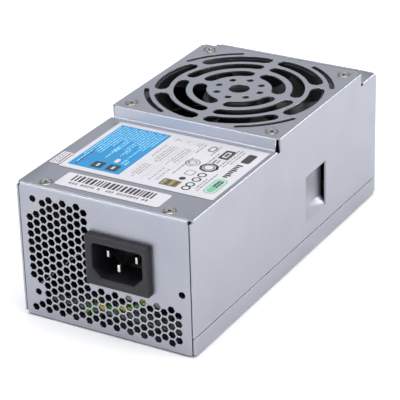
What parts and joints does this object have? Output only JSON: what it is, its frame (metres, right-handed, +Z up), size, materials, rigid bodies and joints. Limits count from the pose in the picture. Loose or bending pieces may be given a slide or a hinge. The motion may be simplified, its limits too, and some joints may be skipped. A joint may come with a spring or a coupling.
{
  "type": "power supply unit",
  "caption": "Slim boxed computer power supply: folded steel case with mains inlet and hexagonal vents at one end, a raised fan grille on top and a cable outlet at the other end.",
  "frame": {"origin": "on the underside, at the middle of the whole object's footprint", "axes": "+Y along the length from the mains inlet end to the cable end, +X to the right seen from the inlet end, +Z up out of the fan grille"},
  "size_m": [0.085, 0.181, 0.0691],
  "materials": {
    "zinc_steel": "zinc-plated sheet, satin",
    "black_plastic": "moulded, fine texture",
    "plated_brass": "nickel plated",
    "label_paper": "printed film",
    "screw_steel": "nickel plated",
    "board_laminate": "paper laminate board",
    "insulating_film": "translucent film",
    "ferrite": "sintered, matt",
    "winding_tape": "polyester tape",
    "copper": "enamelled copper",
    "heatsink_aluminium": "plain mill finish",
    "capacitor_sleeve": "shrink sleeve",
    "transistor_epoxy": "moulded epoxy",
    "fuse_glass": "clear glass",
    "rubber_magnet": "bonded magnet",
    "bronze": "sintered",
    "red_wire": "wire insulation",
    "black_wire": "wire insulation",
    "brown_wire": "wire insulation",
    "blue_wire": "wire insulation",
    "earth_wire": "green insulation with a yellow stripe"
  },
  "bodies": {
    "case": {"base_tray": "zinc_steel", "board_screw_1": "screw_steel", "board_screw_2": "screw_steel", "board_screw_3": "screw_steel", "board_screw_4": "screw_steel", "boost_choke_core": "ferrite", "boost_choke_winding": "winding_tape", "bridge_rectifier": "transistor_epoxy", "bulk_capacitor": "capacitor_sleeve", "cable_grommet": "black_plastic", "control_board": "board_laminate", "cover_screw_1": "screw_steel", "cover_screw_2": "screw_steel", "cover_screw_3": "screw_steel", "cover_screw_4": "screw_steel", "earth_lead": "earth_wire", "earth_pin": "plated_brass", "earth_screw": "screw_steel", "earth_terminal": "plated_brass", "fan_bearing": "bronze", "fan_circuit_board": "board_laminate", "fan_frame": "black_plastic", "fan_lead_black": "black_wire", "fan_lead_red": "red_wire", "fan_screw_1": "screw_steel", "fan_screw_2": "screw_steel", "fan_screw_3": "screw_steel", "fan_screw_4": "screw_steel", "fan_stator": "copper", "filter_choke_core": "ferrite", "filter_choke_winding": "copper", "fuse": "fuse_glass", "inlet_housing": "black_plastic", "inspection_sticker": "label_paper", "insulating_sheet": "insulating_film", "live_lead": "brown_wire", "live_pin": "plated_brass", "main_board": "board_laminate", "main_transformer_core": "ferrite", "main_transformer_winding": "winding_tape", "neutral_lead": "blue_wire", "neutral_pin": "plated_brass", "output_capacitor_1": "capacitor_sleeve", "output_capacitor_2": "capacitor_sleeve", "output_capacitor_3": "capacitor_sleeve", "output_choke_core": "ferrite", "output_choke_winding": "copper", "output_rectifier": "transistor_epoxy", "primary_heatsink": "heatsink_aluminium", "primary_transistor": "transistor_epoxy", "rating_label": "label_paper", "secondary_heatsink": "heatsink_aluminium", "serial_label": "label_paper", "standby_transformer_core": "ferrite", "standby_transformer_winding": "winding_tape", "top_cover": "zinc_steel", "x_capacitor": "winding_tape"},
    "rotor": {"fan_rotor": "black_plastic", "fan_magnet": "rubber_magnet", "fan_shaft": "screw_steel"}
  },
  "joints": [
    {"name": "fan_spin", "type": "hinge", "parent": "case", "child": "rotor", "pos_m": [0, 0.0306, 0.0552], "axis": [0, 0, 1], "continuous": true}
  ]
}
